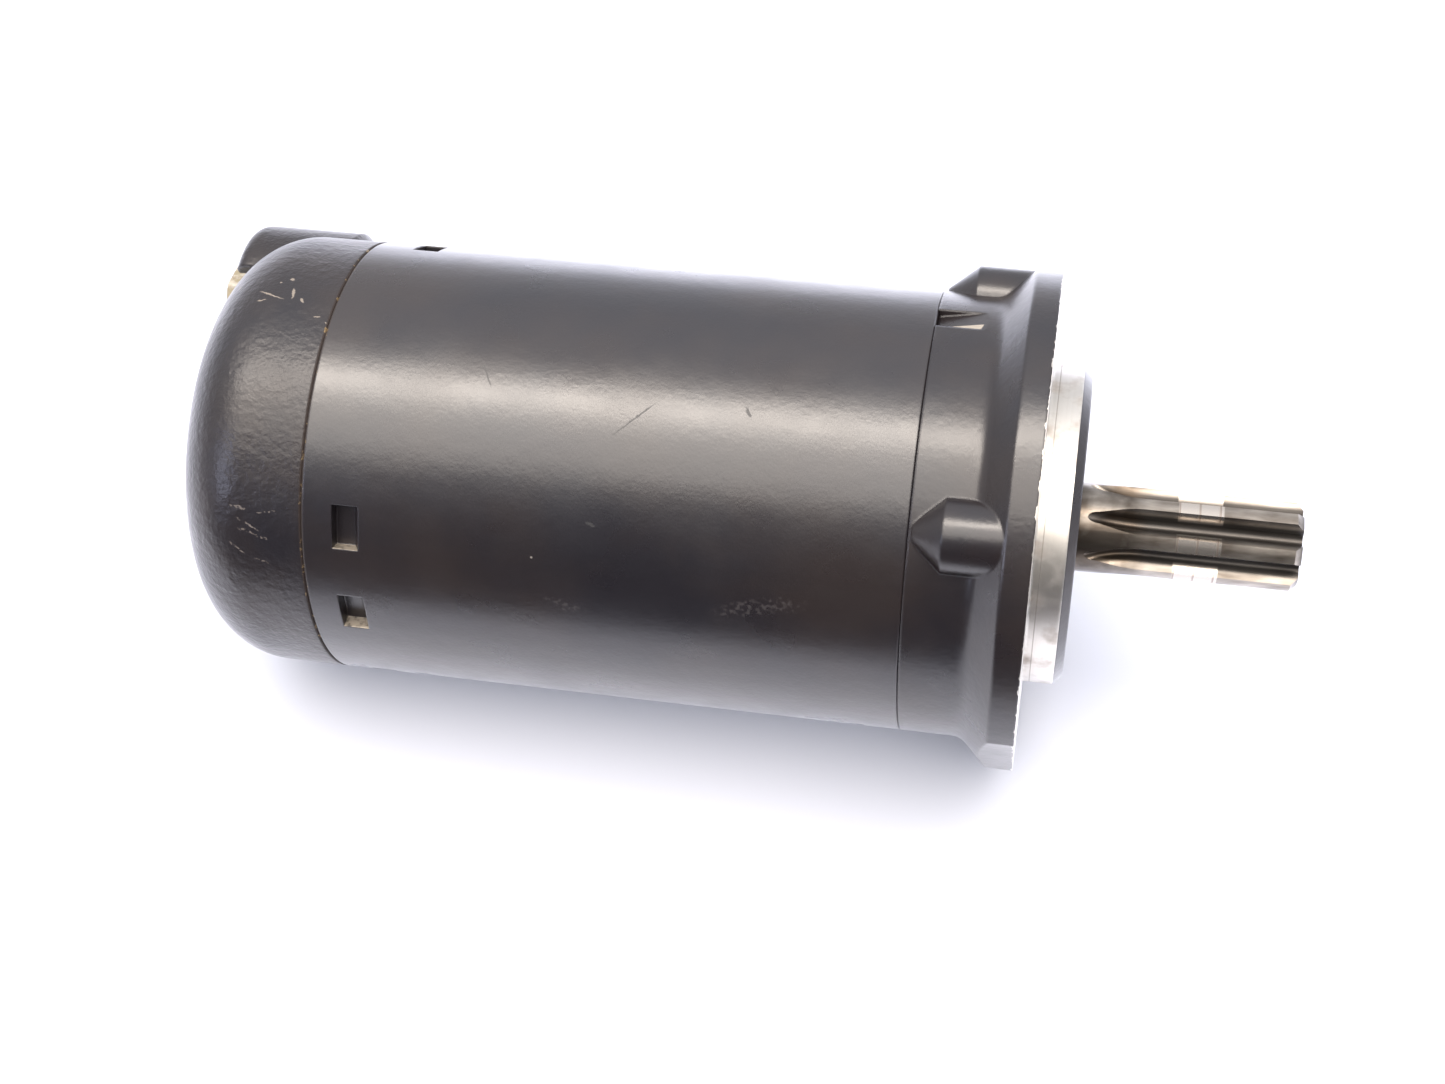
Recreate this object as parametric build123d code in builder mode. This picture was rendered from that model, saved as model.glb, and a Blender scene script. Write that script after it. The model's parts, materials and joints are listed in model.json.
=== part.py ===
"""Starter motor for a motorcycle: permanent-magnet DC motor with a seven-tooth pinion cut on its shaft.

Frame: the origin is on the shaft's axis in the plane of the mounting face, +X runs out along the
pinion and +Z is up. Angles about the axis are in degrees from +Y towards +Z. Millimetres.
"""

from build123d import *
from math import cos, pi, radians, sin
import os

os.makedirs("parts", exist_ok=True)

# Casing
body_radius = 32.5
yoke_wall = 2.5
front_cover_length = 16.7
yoke_length = 84.7
rear_cover_length = 20.9
cover_wall = 3.0
register_wall = 3.3
flange_foot_fillet = 3.0
rim_fillet = 0.6
shoulder_radius = 11.7
register_depth = 4.8
seam_edge = 0.25

# Mounting flange, its three threaded bosses and the spigot that centres it
flange_rise = 4.2
rim_thickness = 3.7
flange_slope = 4.3
flat_inset = 1.3
flat_angles = (-23.0, 203.0)
flat_cut_depth = 20.0
flat_cut_width = 40.0
boss_angles = (45.0, 135.0, 270.0)
boss_radius = 5.2
boss_straight_end = -12.0
boss_tip_radius = 1.6
boss_tip_gap = 0.4
boss_inset = 0.2
mount_thread_radius = 3.0
mount_thread_depths = (13.0, 12.5, 12.0)
spigot_radius = 23.37
spigot_length = 5.7
spigot_chamfer = 1.3
slot_angle = 73.0
slot_width = 4.7
slot_length = 7.8
slot_depth = 1.3

# Clearances
fit_gap = 0.05
running_gap = 0.05
slide_gap = 0.15

# Stops pressed in from the yoke's wall, which the brush plate seats on
stop_angles = (52.0, 148.5, 174.0, 215.0, 292.0)
stop_offset = 4.5
upper_stop_offset = 6.0
stop_length = 4.0
stop_width = 6.5
stop_outer_depth = 2.2
stop_inner_height = 2.0

# Shaft and pinion
tooth_count = 7
pinion_radius = 6.56
pinion_root_radius = 4.15
pinion_end = 37.4
pinion_chamfer = 1.0
tooth_phase = 25.7
hob_radius = 14.2
hob_arc = 40.0
tooth_full_depth_start = 14.9
tooth_space_outer = 17.2
tooth_space_root = 9.5
rear_journal_radius = 4.0
core_bore_radius = 8.5

# Ball bearing 15 x 35 x 11 and oil seal
bearing_bore_radius = 7.5
bearing_outer_radius = 17.5
bearing_width = 11.0
bearing_front = -2.0
ball_share = 0.29
ball_count = 9
race_shoulder = 2.6
cage_width = 6.6
cage_thickness = 1.4
shield_thickness = 0.4
shield_inset = 0.6
seal_outer_radius = 12.0
seal_width = 5.0
seal_sink = 0.3
seal_sheet = 0.8
seal_rubber = 0.9
seal_mouth = 2.2
seal_gap = 0.05
garter_radius = 0.45

# Long bolts that hold the covers on the yoke
bolt_radius = 2.0
bolt_head_radius = 2.75
bolt_head_height = 3.6
bolt_head_sink = 0.6
bolt_inset = 6.2
bolt_angles = (161.5, -18.5)
bolt_thread_length = 9.0
bolt_socket_width = 3.0
bolt_socket_depth = 2.2

# Magnets and armature
magnet_thickness = 7.0
magnet_span = 70.0
magnet_end_margin = 9.3
magnet_rear_margin = 14.9
air_gap = 0.5
end_turn_front = 13.3
end_turn_rear = 23.4
slot_count = 16
core_slot_width = 3.4
core_slot_mouth = 1.6
core_slot_depth = 8.5
lip_thickness = 1.5
commutator_radius = 14.0
commutator_length = 15.0
riser_radius = 15.6
riser_length = 2.5
front_turns_length = 8.0
step_length = 3.0
bar_thickness = 3.0
bar_gap = 0.7

# Brush gear
brush_plate_thickness = 1.6
brush_plate_bore = 17.2
brush_width = 7.0
brush_thickness = 8.0
brush_length = 6.0
brush_travel = 3.0
brush_face_gap = 0.15
holder_wall = 0.8
holder_inset = 6.5
spring_wire_radius = 0.35
spring_radius = 2.4
spring_turns = 3

# Rear bush
bush_length = 8.0
bush_wall = 2.0
bush_boss_wall = 3.0

# Terminal and the guard cast around it
terminal_angle = 22.0
terminal_inset = 9.1
stud_radius = 3.0
insulator_radius = 5.0
insulator_lip = 1.0
insulator_flange = 1.5
terminal_seat_depth = 1.6
collar_radius = 6.4
collar_height = 1.9
collar_recess = 1.3
terminal_ring_offset = 0.75
terminal_ring_radius = 0.6
washer_radius = 6.2
washer_thickness = 1.2
nut_across_flats = 10.0
nut_thickness = 4.6
guard_outer_radius = 12.0
guard_wall = 3.2
guard_height = 3.2
guard_run = 13.8
guard_front_slope = 3.0
guard_rear_rounding = 2.4
guard_opening = 30.0

# Sizes that follow from the ones above
flange_radius = body_radius + flange_rise
flat_distance = flange_radius - flat_inset
ball_radius = ball_share * (bearing_outer_radius - bearing_bore_radius)
bolt_circle_radius = body_radius - bolt_inset
terminal_circle_radius = body_radius - terminal_inset
holder_outer_radius = body_radius - holder_inset

# Places along the axis that follow from the lengths above
front_seam = -front_cover_length
rear_seam = front_seam - yoke_length
rear_end = rear_seam - rear_cover_length
yoke_bore = body_radius - yoke_wall
register_radius = yoke_bore - fit_gap
lip_radius = register_radius - register_wall
stop_rear = rear_seam + stop_offset
plate_rear = stop_rear - brush_plate_thickness
inner_wall = rear_end + cover_wall
bearing_rear = bearing_front - bearing_width
magnet_bore = yoke_bore - fit_gap - magnet_thickness
core_radius = magnet_bore - air_gap
core_front = front_seam - end_turn_front
core_rear = rear_seam + end_turn_rear
commutator_front = plate_rear + 3.5
commutator_rear = commutator_front - commutator_length
brush_centre = plate_rear - brush_thickness / 2 - 2.1
bush_front = inner_wall + bush_length
o_ring_radius = 0.75
o_ring_centre = yoke_bore - o_ring_radius - 0.05
groove_floor = yoke_bore - 2 * o_ring_radius - 0.1
boss_circle_radius = flange_radius - boss_radius - boss_inset
boss_tip = front_seam + boss_tip_gap
terminal_seat = rear_end + terminal_seat_depth
terminal_recess_radius = guard_outer_radius - guard_wall


def turn(angle, radius=0.0, x=0.0):
    """Place at an angle about the shaft's axis, with local Y pointing outwards."""
    place = Location((x, radius * cos(radians(angle)), radius * sin(radians(angle))), (angle, 0, 0))
    return place


def ring_plane(x):
    """Plane across the shaft at x, with its normal along +X."""
    return Plane(origin=(x, 0, 0), x_dir=(0, 1, 0), z_dir=(1, 0, 0))


def save(name, builder):
    builder.part.label = name
    export_step(builder.part, f"parts/{name}.step")


# ---------------------------------------------------------------- front cover
bolt_pad_radius = 4.0
inner_web = bearing_front - 4.0
with BuildPart() as front_cover:
    with BuildSketch(Plane.XY):
        with BuildLine():
            Polyline(
                (front_seam - register_depth, lip_radius),
                (front_seam - register_depth, register_radius),
                (front_seam, register_radius),
                (front_seam, body_radius),
                (-rim_thickness - flange_slope, body_radius),
                (-rim_thickness, flange_radius),
                (0, flange_radius),
                (0, spigot_radius),
                (spigot_length - spigot_chamfer, spigot_radius),
                (spigot_length, spigot_radius - spigot_chamfer),
                (spigot_length, seal_outer_radius),
                (spigot_length - seal_width - seal_sink, seal_outer_radius),
                (spigot_length - seal_width - seal_sink, seal_outer_radius - 2.0),
                (bearing_front, seal_outer_radius - 2.0),
                (bearing_front, bearing_outer_radius),
                (bearing_rear - 0.5, bearing_outer_radius),
                (bearing_rear - 0.5, bearing_outer_radius + 3.0),
                (inner_web, bearing_outer_radius + 3.8),
                (inner_web, lip_radius),
                close=True,
            )
        make_face()
    revolve(axis=Axis.X)
    rim_edges = front_cover.edges().filter_by(GeomType.CIRCLE).filter_by(
        lambda e: abs(e.radius - flange_radius) < 0.01 and abs(e.center().X + rim_thickness) < 0.01
    )
    foot_edges = front_cover.edges().filter_by(GeomType.CIRCLE).filter_by(
        lambda e: abs(e.radius - body_radius) < 0.01 and e.center().X > front_seam + 1
    )
    fillet(foot_edges, flange_foot_fillet)
    fillet(rim_edges, rim_fillet)
    # Half-buried bosses with a conical end, one behind each mounting thread
    with Locations(*[turn(a, boss_circle_radius) for a in boss_angles]):
        Cylinder(boss_radius, -boss_straight_end, rotation=(0, -90, 0),
                 align=(Align.CENTER, Align.CENTER, Align.MIN))
    with Locations(*[turn(a, boss_circle_radius, boss_straight_end) for a in boss_angles]):
        Cone(boss_radius, boss_tip_radius, boss_straight_end - boss_tip, rotation=(0, -90, 0),
             align=(Align.CENTER, Align.CENTER, Align.MIN))
    # Pads inside for the long bolts, kept inside the register
    with BuildPart(mode=Mode.PRIVATE) as front_pads:
        with Locations(*[turn(a, bolt_circle_radius, inner_web) for a in bolt_angles]):
            Cylinder(bolt_pad_radius, inner_web - front_seam + register_depth, rotation=(0, -90, 0),
                     align=(Align.CENTER, Align.CENTER, Align.MIN))
        with Locations(Location((front_seam - register_depth - 1, 0, 0), (0, 90, 0))):
            Cylinder(register_radius, 60, align=(Align.CENTER, Align.CENTER, Align.MIN),
                     mode=Mode.INTERSECT)
    add(front_pads.part)
    # Ring groove beside the seam
    with BuildSketch(Plane.XY):
        with Locations((front_seam - o_ring_radius - 0.05, (groove_floor + yoke_bore + 1) / 2)):
            Rectangle(2 * o_ring_radius + 0.1, yoke_bore + 1 - groove_floor)
    revolve(axis=Axis.X, mode=Mode.SUBTRACT)
    # Mounting threads, sunk bolt heads and bolt holes
    for angle, depth in zip(boss_angles, mount_thread_depths):
        with Locations(turn(angle, boss_circle_radius)):
            Cylinder(mount_thread_radius, depth, rotation=(0, -90, 0),
                     align=(Align.CENTER, Align.CENTER, Align.MIN), mode=Mode.SUBTRACT)
    with Locations(*[turn(a, bolt_circle_radius) for a in bolt_angles]):
        Cylinder(bolt_head_radius + slide_gap / 2, bolt_head_height + bolt_head_sink,
                 rotation=(0, -90, 0), align=(Align.CENTER, Align.CENTER, Align.MIN),
                 mode=Mode.SUBTRACT)
        Cylinder(bolt_radius + slide_gap / 2, front_cover_length + register_depth + 1,
                 rotation=(0, -90, 0), align=(Align.CENTER, Align.CENTER, Align.MIN),
                 mode=Mode.SUBTRACT)
    # Tapering slot in the outside, deepest at the seam
    with BuildSketch(Plane.XZ.rotated((slot_angle - 90, 0, 0))):
        with BuildLine():
            Polyline(
                (front_seam - 0.01, body_radius + 2),
                (front_seam - 0.01, body_radius - slot_depth),
                (front_seam + slot_length, body_radius + 0.1),
                (front_seam + slot_length, body_radius + 2),
                close=True,
            )
        make_face()
    extrude(amount=slot_width / 2, both=True, mode=Mode.SUBTRACT)
    # Two flats on the flange's rim
    with Locations(*[turn(a, flat_distance, -rim_thickness - flange_slope) for a in flat_angles]):
        Box(rim_thickness + flange_slope + 1, flat_cut_depth, flat_cut_width,
            align=(Align.MIN, Align.MIN, Align.CENTER), mode=Mode.SUBTRACT)
save("front_cover", front_cover)


# ---------------------------------------------------------------- yoke
stop_flat_length = 0.7 * stop_length
upper_stop = rear_seam + upper_stop_offset
stop_starts = [upper_stop if angle < 90 else stop_rear for angle in stop_angles]
with BuildPart() as yoke_tube:
    with BuildSketch(ring_plane(rear_seam)):
        Circle(body_radius)
        Circle(yoke_bore, mode=Mode.SUBTRACT)
    extrude(amount=yoke_length)
    chamfer(
        yoke_tube.edges().filter_by(GeomType.CIRCLE).filter_by(
            lambda e: abs(e.radius - body_radius) < 0.01
        ),
        seam_edge,
    )
    # Lanced stops: a pocket outside with a sloped front, and a tongue inside
    for angle, x in zip(stop_angles, stop_starts):
        with BuildSketch(Plane.XZ.rotated((angle - 90, 0, 0))):
            with BuildLine():
                Polyline(
                    (x, yoke_bore - stop_inner_height),
                    (x + stop_flat_length, yoke_bore - stop_inner_height),
                    (x + stop_length, yoke_bore + 0.4),
                    (x, yoke_bore + 0.4),
                    close=True,
                )
            make_face()
        extrude(amount=stop_width / 2, both=True)
    for angle, x in zip(stop_angles, stop_starts):
        with BuildSketch(Plane.XZ.rotated((angle - 90, 0, 0))):
            with BuildLine():
                Polyline(
                    (x, body_radius - stop_outer_depth),
                    (x + stop_flat_length, body_radius - stop_outer_depth),
                    (x + stop_length, body_radius + 0.3),
                    (x, body_radius + 0.3),
                    close=True,
                )
            make_face()
        extrude(amount=stop_width / 2, both=True, mode=Mode.SUBTRACT)
save("yoke_tube", yoke_tube)

# ---------------------------------------------------------------- rear cover
thread_boss_radius = 3.4
lip_root = rear_seam - 4.0
inner_shoulder = shoulder_radius - cover_wall
cover_bore = body_radius - cover_wall
with BuildPart() as rear_cover:
    with BuildSketch(Plane.XY):
        with BuildLine():
            Line((plate_rear, lip_radius), (plate_rear, register_radius))
            Line((plate_rear, register_radius), (rear_seam, register_radius))
            Line((rear_seam, register_radius), (rear_seam, body_radius))
            Line((rear_seam, body_radius), (rear_end + shoulder_radius, body_radius))
            RadiusArc(
                (rear_end + shoulder_radius, body_radius), (rear_end, body_radius - shoulder_radius),
                -shoulder_radius,
            )
            Line((rear_end, body_radius - shoulder_radius), (rear_end, 0))
            Line((rear_end, 0), (inner_wall, 0))
            Line((inner_wall, 0), (inner_wall, body_radius - shoulder_radius))
            RadiusArc(
                (inner_wall, body_radius - shoulder_radius),
                (rear_end + shoulder_radius, cover_bore), inner_shoulder,
            )
            Line((rear_end + shoulder_radius, cover_bore), (lip_root, cover_bore))
            Line((lip_root, cover_bore), (rear_seam - 1.0, lip_radius))
            Line((rear_seam - 1.0, lip_radius), (plate_rear, lip_radius))
        make_face()
    revolve(axis=Axis.X)
    chamfer(
        rear_cover.edges().filter_by(GeomType.CIRCLE).filter_by(
            lambda e: abs(e.radius - body_radius) < 0.01 and abs(e.center().X - rear_seam) < 0.01
        ),
        seam_edge,
    )
    # Boss round the rear bush
    with BuildSketch(ring_plane(rear_end + 1.0)):
        Circle(rear_journal_radius + bush_wall + bush_boss_wall)
    extrude(amount=bush_front - rear_end - 1.0)
    # Terminal guard: a round boss along the motor with a sloped front end
    guard_front = rear_end + guard_run
    with BuildPart(mode=Mode.PRIVATE) as guard:
        with Locations(turn(terminal_angle, terminal_circle_radius, rear_end - guard_height)):
            Cylinder(guard_outer_radius, guard_run + guard_height, rotation=(0, 90, 0),
                     align=(Align.CENTER, Align.CENTER, Align.MIN))
        with Locations(turn(terminal_angle, terminal_circle_radius, guard_front)):
            Cone(guard_outer_radius, guard_outer_radius - guard_front_slope, guard_front_slope,
                 rotation=(0, 90, 0), align=(Align.CENTER, Align.CENTER, Align.MIN))
        fillet(guard.edges().filter_by(GeomType.CIRCLE).group_by(Axis.X)[0], guard_rear_rounding)
        # Nothing stands inside the motor's cavity or the terminal's own recess
        with BuildSketch(Plane.XY):
            with BuildLine():
                Line((inner_wall, 0), (inner_wall, body_radius - shoulder_radius))
                RadiusArc(
                    (inner_wall, body_radius - shoulder_radius),
                    (rear_end + shoulder_radius, cover_bore), inner_shoulder,
                )
                Line((rear_end + shoulder_radius, cover_bore), (rear_seam, cover_bore))
                Line((rear_seam, cover_bore), (rear_seam, 0))
                Line((rear_seam, 0), (inner_wall, 0))
            make_face()
        revolve(axis=Axis.X, mode=Mode.SUBTRACT)
        with Locations(turn(terminal_angle, terminal_circle_radius, terminal_seat)):
            Cylinder(terminal_recess_radius, 30, rotation=(0, -90, 0),
                     align=(Align.CENTER, Align.CENTER, Align.MIN), mode=Mode.SUBTRACT)
        with Locations(turn(terminal_angle, terminal_circle_radius + 1.0, rear_end)):
            Box(guard_opening, guard_opening, 1.5 * guard_opening,
                align=(Align.MAX, Align.MAX, Align.CENTER), mode=Mode.SUBTRACT)
    add(guard.part)
    # Thread bosses for the long bolts, inside the register's radius
    with BuildPart(mode=Mode.PRIVATE) as thread_bosses:
        with Locations(*[turn(a, bolt_circle_radius, plate_rear) for a in bolt_angles]):
            Cylinder(thread_boss_radius, bolt_thread_length + 2, rotation=(0, -90, 0),
                     align=(Align.CENTER, Align.CENTER, Align.MIN))
        with Locations(Location((plate_rear + 1, 0, 0), (0, -90, 0))):
            Cylinder(register_radius, 60, align=(Align.CENTER, Align.CENTER, Align.MIN),
                     mode=Mode.INTERSECT)
    add(thread_bosses.part)
    with Locations(*[turn(a, bolt_circle_radius, plate_rear + 1) for a in bolt_angles]):
        Cylinder(bolt_radius + fit_gap, bolt_thread_length + 1.5, rotation=(0, -90, 0),
                 align=(Align.CENTER, Align.CENTER, Align.MIN), mode=Mode.SUBTRACT)
    with BuildSketch(Plane.XY):
        with Locations((rear_seam + o_ring_radius + 0.05, (groove_floor + yoke_bore + 1) / 2)):
            Rectangle(2 * o_ring_radius + 0.1, yoke_bore + 1 - groove_floor)
    revolve(axis=Axis.X, mode=Mode.SUBTRACT)
    # Bush seat and terminal hole
    with Locations(Location((bush_front + 1, 0, 0), (0, -90, 0))):
        Cylinder(rear_journal_radius + bush_wall + fit_gap, bush_length + 1,
                 align=(Align.CENTER, Align.CENTER, Align.MIN), mode=Mode.SUBTRACT)
    with Locations(turn(terminal_angle, terminal_circle_radius, inner_wall + 10)):
        Cylinder(insulator_radius + fit_gap, 30, rotation=(0, -90, 0),
                 align=(Align.CENTER, Align.CENTER, Align.MIN), mode=Mode.SUBTRACT)
    with Locations(turn(terminal_angle, terminal_circle_radius, inner_wall + 8)):
        Cylinder(insulator_radius + insulator_lip + 0.3, 8, rotation=(0, -90, 0),
                 align=(Align.CENTER, Align.CENTER, Align.MIN), mode=Mode.SUBTRACT)
    # Spot face that seats the terminal's collar square to the shaft
    with Locations(turn(terminal_angle, terminal_circle_radius, terminal_seat)):
        Cylinder(terminal_recess_radius, 8, rotation=(0, -90, 0),
                 align=(Align.CENTER, Align.CENTER, Align.MIN), mode=Mode.SUBTRACT)
save("rear_cover", rear_cover)

# ---------------------------------------------------------------- seals
for name, x in (
    ("front_seam_o_ring", front_seam - o_ring_radius - 0.05),
    ("rear_seam_o_ring", rear_seam + o_ring_radius + 0.05),
):
    with BuildPart() as o_ring:
        with BuildSketch(Plane.XY):
            with Locations((x, o_ring_centre)):
                Circle(o_ring_radius - 0.02)
        revolve(axis=Axis.X)
    save(name, o_ring)

seal_front = spigot_length - seal_sink
seal_rear = seal_front - seal_width
with BuildPart() as oil_seal_case:
    with BuildSketch(Plane.XY):
        with BuildLine():
            Polyline(
                (seal_rear, seal_outer_radius - fit_gap),
                (seal_front, seal_outer_radius - fit_gap),
                (seal_front, pinion_radius + seal_mouth),
                (seal_front - seal_sheet, pinion_radius + seal_mouth),
                (seal_front - seal_sheet, seal_outer_radius - seal_rubber),
                (seal_rear, seal_outer_radius - seal_rubber),
                close=True,
            )
        make_face()
    revolve(axis=Axis.X)
save("oil_seal_case", oil_seal_case)

with BuildPart() as oil_seal_lip:
    with BuildSketch(Plane.XY):
        with BuildLine():
            Polyline(
                (seal_rear, seal_outer_radius - seal_rubber - seal_gap),
                (seal_front - seal_sheet - seal_gap, seal_outer_radius - seal_rubber - seal_gap),
                (seal_front - seal_sheet - seal_gap, pinion_radius + 2.0),
                (seal_front - 0.1, pinion_radius + 2.0),
                (seal_front - 0.1, pinion_radius + 0.3),
                (seal_front - 2.0, pinion_radius + running_gap),
                (seal_rear + 0.6, pinion_radius + 0.7),
                (seal_rear + 0.6, pinion_radius + 1.8),
                (seal_front - 2.2, pinion_radius + 2.0),
                (seal_front - 2.2, seal_outer_radius - 1.8),
                (seal_rear, seal_outer_radius - 1.8),
                close=True,
            )
        make_face()
    revolve(axis=Axis.X)
save("oil_seal_lip", oil_seal_lip)

with BuildPart() as seal_garter_spring:
    with BuildSketch(Plane.XY):
        with Locations((seal_rear + 1.5, pinion_radius + 2.5)):
            Circle(garter_radius)
    revolve(axis=Axis.X)
save("seal_garter_spring", seal_garter_spring)

# ---------------------------------------------------------------- front ball bearing
bearing_middle = bearing_front - bearing_width / 2
ball_circle = (bearing_bore_radius + bearing_outer_radius) / 2
groove_radius = ball_radius + 0.1
for name, low, high in (
    ("bearing_outer_race", bearing_outer_radius - race_shoulder, bearing_outer_radius - fit_gap),
    ("bearing_inner_race", bearing_bore_radius + fit_gap / 2, bearing_bore_radius + race_shoulder),
):
    with BuildPart() as race:
        with BuildSketch(Plane.XY):
            with Locations((bearing_middle, (low + high) / 2)):
                Rectangle(bearing_width - 0.1, high - low)
            with Locations((bearing_middle, ball_circle)):
                Circle(groove_radius, mode=Mode.SUBTRACT)
        revolve(axis=Axis.X)
    save(name, race)

with BuildPart() as bearing_balls:
    with Locations(*[turn(k * 360 / ball_count, ball_circle, bearing_middle) for k in range(ball_count)]):
        Sphere(ball_radius)
save("bearing_balls", bearing_balls)

with BuildPart() as bearing_cage:
    with BuildSketch(Plane.XY):
        with Locations((bearing_middle, ball_circle)):
            Rectangle(cage_width, cage_thickness)
    revolve(axis=Axis.X)
    with Locations(*[turn(k * 360 / ball_count, ball_circle, bearing_middle) for k in range(ball_count)]):
        Sphere(ball_radius + 0.05, mode=Mode.SUBTRACT)
save("bearing_cage", bearing_cage)

with BuildPart() as bearing_shields:
    for side in (-1, 1):
        with BuildSketch(Plane.XY):
            with Locations((bearing_middle + side * (bearing_width / 2 - shield_inset), ball_circle + 0.1)):
                Rectangle(shield_thickness,
                          bearing_outer_radius - bearing_bore_radius - 2 * race_shoulder - shield_thickness)
        revolve(axis=Axis.X)
save("bearing_shields", bearing_shields)

# ---------------------------------------------------------------- rear bush
with BuildPart() as rear_bush:
    with BuildSketch(ring_plane(inner_wall)):
        Circle(rear_journal_radius + bush_wall)
        Circle(rear_journal_radius + running_gap, mode=Mode.SUBTRACT)
    extrude(amount=bush_length)
save("rear_bush", rear_bush)

# ---------------------------------------------------------------- long bolts
for number, angle in enumerate(bolt_angles, start=1):
    with BuildPart() as through_bolt:
        with Locations(turn(angle, bolt_circle_radius, -bolt_head_sink)):
            Cylinder(bolt_head_radius, bolt_head_height, rotation=(0, -90, 0),
                     align=(Align.CENTER, Align.CENTER, Align.MIN))
        bolt_end = plate_rear - bolt_thread_length
        with Locations(turn(angle, bolt_circle_radius, -bolt_head_sink - bolt_head_height)):
            Cylinder(bolt_radius, -bolt_head_sink - bolt_head_height - bolt_end, rotation=(0, -90, 0),
                     align=(Align.CENTER, Align.CENTER, Align.MIN))
        chamfer(through_bolt.edges().group_by(Axis.X)[0], 0.5)
        with BuildSketch(ring_plane(-bolt_head_sink - bolt_socket_depth)):
            with PolarLocations(bolt_circle_radius, 1, start_angle=angle):
                RegularPolygon(bolt_socket_width / 2, 6, major_radius=False)
        extrude(amount=5, mode=Mode.SUBTRACT)
    save(f"through_bolt_{number}", through_bolt)

# ---------------------------------------------------------------- magnets
magnet_front = front_seam - magnet_end_margin
magnet_rear = stop_rear + magnet_rear_margin
magnet_angles = [bolt_angles[0] + 45.0 + 90.0 * k for k in range(4)]
for number, angle in enumerate(magnet_angles, start=1):
    with BuildPart() as magnet:
        with BuildSketch(ring_plane(magnet_rear)):
            Circle(magnet_bore + magnet_thickness)
            Circle(magnet_bore, mode=Mode.SUBTRACT)
            with BuildLine():
                far = 2 * body_radius
                low = radians(angle - magnet_span / 2)
                high = radians(angle + magnet_span / 2)
                Polyline(
                    (0, 0),
                    (far * cos(low), far * sin(low)),
                    (far * cos(high), far * sin(high)),
                    close=True,
                )
            make_face(mode=Mode.INTERSECT)
        extrude(amount=magnet_front - magnet_rear)
    save(f"magnet_{number}", magnet)


# ---------------------------------------------------------------- armature shaft and its pinion
root_bottom = (0.0, pinion_root_radius)
space_root = radians(tooth_space_root)
space_outer = radians(tooth_space_outer)
flank_low_radius = pinion_root_radius + 0.55
flank_low = (flank_low_radius * sin(space_root), flank_low_radius * cos(space_root))
flank_mid_angle = 0.42 * space_root + 0.58 * space_outer
flank_mid_radius = pinion_radius - 0.85
flank_mid = (flank_mid_radius * sin(flank_mid_angle) - 0.16, flank_mid_radius * cos(flank_mid_angle))
flank_top = (pinion_radius * sin(space_outer), pinion_radius * cos(space_outer))
space_height = pinion_radius + 1.2


def tooth_space_outline():
    """Closed outline of one gap between teeth, in (across, outwards) coordinates."""
    left = [(-x, y) for x, y in (flank_low, flank_mid, flank_top)]
    ThreePointArc(left[0], root_bottom, flank_low)
    ThreePointArc(flank_low, flank_mid, flank_top)
    Polyline(flank_top, (flank_top[0] + 0.35, space_height), (left[2][0] - 0.35, space_height), left[2])
    ThreePointArc(left[2], left[1], left[0])


with BuildPart() as tooth_space:
    space_plane = Plane(origin=(tooth_full_depth_start, 0, 0), x_dir=(0, 1, 0), z_dir=(1, 0, 0))
    with BuildSketch(space_plane):
        with BuildLine():
            tooth_space_outline()
        make_face()
    extrude(amount=pinion_end - tooth_full_depth_start + 1)
    with BuildSketch(space_plane):
        with BuildLine():
            tooth_space_outline()
        make_face()
    hob_axis = Axis((tooth_full_depth_start, 0, pinion_root_radius + hob_radius), (0, 1, 0))
    revolve(axis=hob_axis, revolution_arc=hob_arc)

shaft_rear = inner_wall + 0.6
hub_seat_radius = 7.0
washer_stack = 0.8
journal_end = bush_front + washer_stack + 0.1
clip_groove_radius = 6.6
clip_rear = bearing_front + 0.05
clip_front = clip_rear + 1.0
with BuildPart() as armature_shaft:
    with BuildSketch(Plane.XY):
        with BuildLine():
            Polyline(
                (shaft_rear, 0),
                (shaft_rear, rear_journal_radius - 0.5),
                (shaft_rear + 0.5, rear_journal_radius),
                (journal_end, rear_journal_radius),
                (journal_end, hub_seat_radius),
                (core_rear - step_length, hub_seat_radius),
                (core_rear - step_length, core_bore_radius),
                (core_front + step_length, core_bore_radius),
                (core_front + step_length, core_bore_radius + 0.8),
                (bearing_rear + 0.05, core_bore_radius + 0.8),
                (bearing_rear + 0.05, bearing_bore_radius),
                (clip_rear - 0.02, bearing_bore_radius),
                (clip_rear - 0.02, clip_groove_radius),
                (clip_front + 0.02, clip_groove_radius),
                (clip_front + 0.02, bearing_bore_radius),
                (clip_front + 0.5, bearing_bore_radius),
                (clip_front + 0.5, pinion_radius),
                (pinion_end - pinion_chamfer, pinion_radius),
                (pinion_end, pinion_radius - pinion_chamfer),
                (pinion_end, 0),
                close=True,
            )
        make_face()
    revolve(axis=Axis.X)
    tooth_angles = [k * 360 / tooth_count + tooth_phase for k in range(tooth_count)]
    with Locations(*[Location((0, 0, 0), (a, 0, 0)) for a in tooth_angles]):
        add(tooth_space.part, mode=Mode.SUBTRACT)
save("armature_shaft", armature_shaft)

with BuildPart() as shaft_circlip:
    with BuildSketch(ring_plane(clip_rear)):
        Circle(clip_groove_radius + 2.0)
        Circle(clip_groove_radius + 0.05, mode=Mode.SUBTRACT)
        with Locations((0, clip_groove_radius + 1)):
            Rectangle(3.0, 3.0, mode=Mode.SUBTRACT)
    extrude(amount=clip_front - clip_rear)
save("shaft_circlip", shaft_circlip)

# ---------------------------------------------------------------- armature core and windings
slot_top = core_radius - lip_thickness
slot_bottom = slot_top - core_slot_depth
end_insulator = 0.8


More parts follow.
